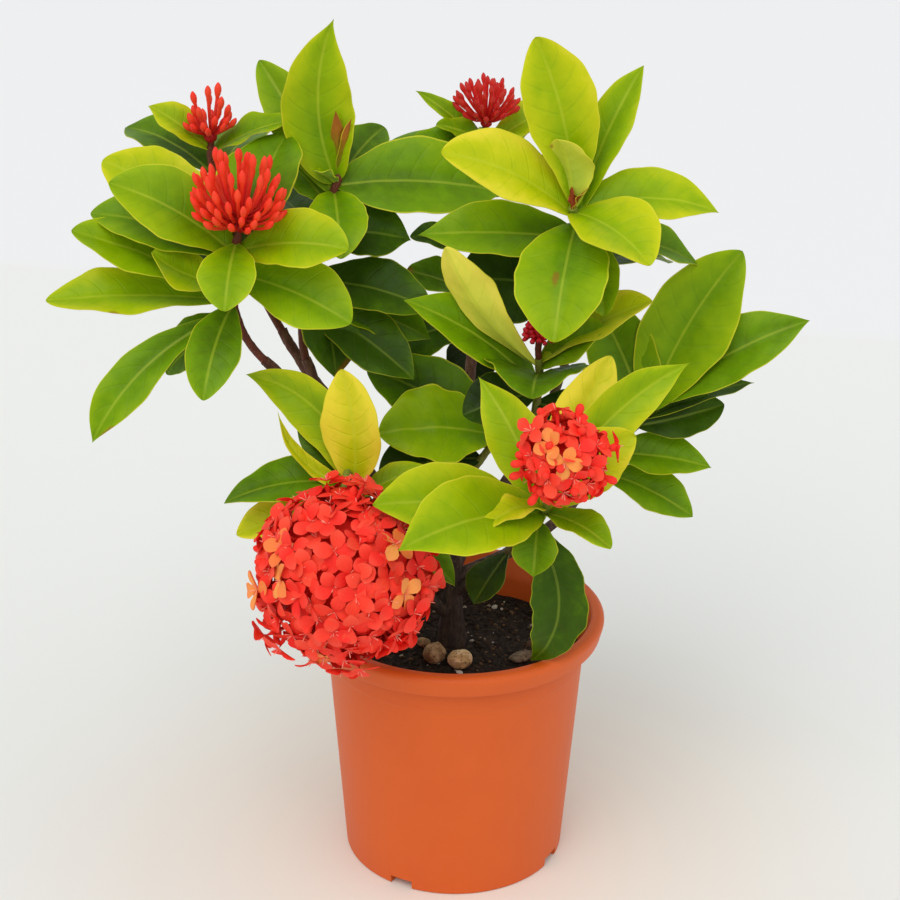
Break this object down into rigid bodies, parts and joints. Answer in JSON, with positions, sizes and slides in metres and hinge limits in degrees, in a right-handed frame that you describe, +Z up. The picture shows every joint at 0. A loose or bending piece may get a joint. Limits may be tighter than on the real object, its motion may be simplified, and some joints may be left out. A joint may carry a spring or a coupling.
{
  "type": "potted ixora",
  "caption": "Flowering ixora shrub with woody stems, whorls of glossy oval leaves and round coral-red flower heads, growing in a tapered round nursery pot.",
  "frame": {"origin": "centre of the pot's underside, on the surface that it stands on", "axes": "+Z up, -Y towards the front of the plant, where the large flower head hangs over the rim, +X to the right seen from the front"},
  "size_m": [0.361, 0.2631, 0.4193],
  "materials": {
    "pot_plastic": "satin",
    "soil": "matte",
    "bark": "matte",
    "leaf": "satin",
    "petal": "matte",
    "bud": "satin",
    "dark_bud": "satin",
    "pebble": "matte",
    "bark_chip": "matte"
  },
  "bodies": {
    "root": {"pot": "pot_plastic", "soil": "soil", "wood": "bark", "shoot_left": "leaf", "shoot_rear_left": "leaf", "shoot_middle": "leaf", "shoot_rear_top": "leaf", "shoot_right_top": "leaf", "shoot_right": "leaf", "shoot_front": "leaf", "shoot_front_left": "leaf", "shoot_centre": "leaf", "shoot_low": "leaf", "bloom_front_left": "petal", "bloom_front": "petal", "buds_left": "bud", "buds_rear_left": "bud", "buds_rear_top": "dark_bud", "buds_centre": "dark_bud", "pebble_tan": "pebble", "pebble_brown": "pebble", "pebble_small": "pebble", "bark_chip": "bark_chip"}
  },
  "joints": []
}
